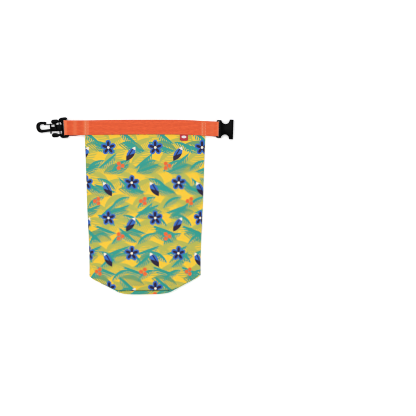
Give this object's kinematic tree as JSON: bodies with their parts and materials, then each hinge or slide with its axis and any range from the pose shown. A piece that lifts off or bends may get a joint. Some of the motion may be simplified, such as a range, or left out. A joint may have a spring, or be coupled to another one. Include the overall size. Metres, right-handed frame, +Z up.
{
  "type": "waterproof bag",
  "caption": "Empty roll-top waterproof bag of printed coated cloth lying flat, with webbing along its open mouth, a side-release buckle and a swivel snap hook.",
  "frame": {"origin": "middle of the footprint, on the surface that the bag lies on", "axes": "+X to the right along the mouth from the hook to the buckle socket, +Y from the base to the mouth, +Z up off the surface"},
  "size_m": [0.3364, 0.302, 0.023],
  "materials": {
    "cloth": "printed polyester with a waterproof laminate behind it",
    "webbing": "woven ribbed webbing",
    "plastic": "moulded, satin",
    "tag": "woven ribbon"
  },
  "bodies": {
    "bag": {"front_panel": "cloth", "back_panel": "cloth", "base_panel": "cloth", "mouth_webbing": "webbing", "front_tag": "tag", "buckle_plug": "plastic", "buckle_socket": "plastic", "hook_ring": "plastic"},
    "hook": {"snap_hook": "plastic"},
    "gate": {"hook_gate": "plastic"}
  },
  "joints": [
    {"name": "hook_swivel", "type": "hinge", "parent": "bag", "child": "hook", "pos_m": [-0.1288, 0.13256, 0.00628], "axis": [0.9944, 0.0573, 0.0889], "continuous": true},
    {"name": "gate_swing", "type": "hinge", "parent": "hook", "child": "gate", "pos_m": [-0.13526, 0.13895, 0.00574], "axis": [-0.0887, -0.0051, 0.996], "range_deg": [0, 22], "stiffness_Nm_per_rad": 0.01, "springref_deg": -8.59}
  ]
}
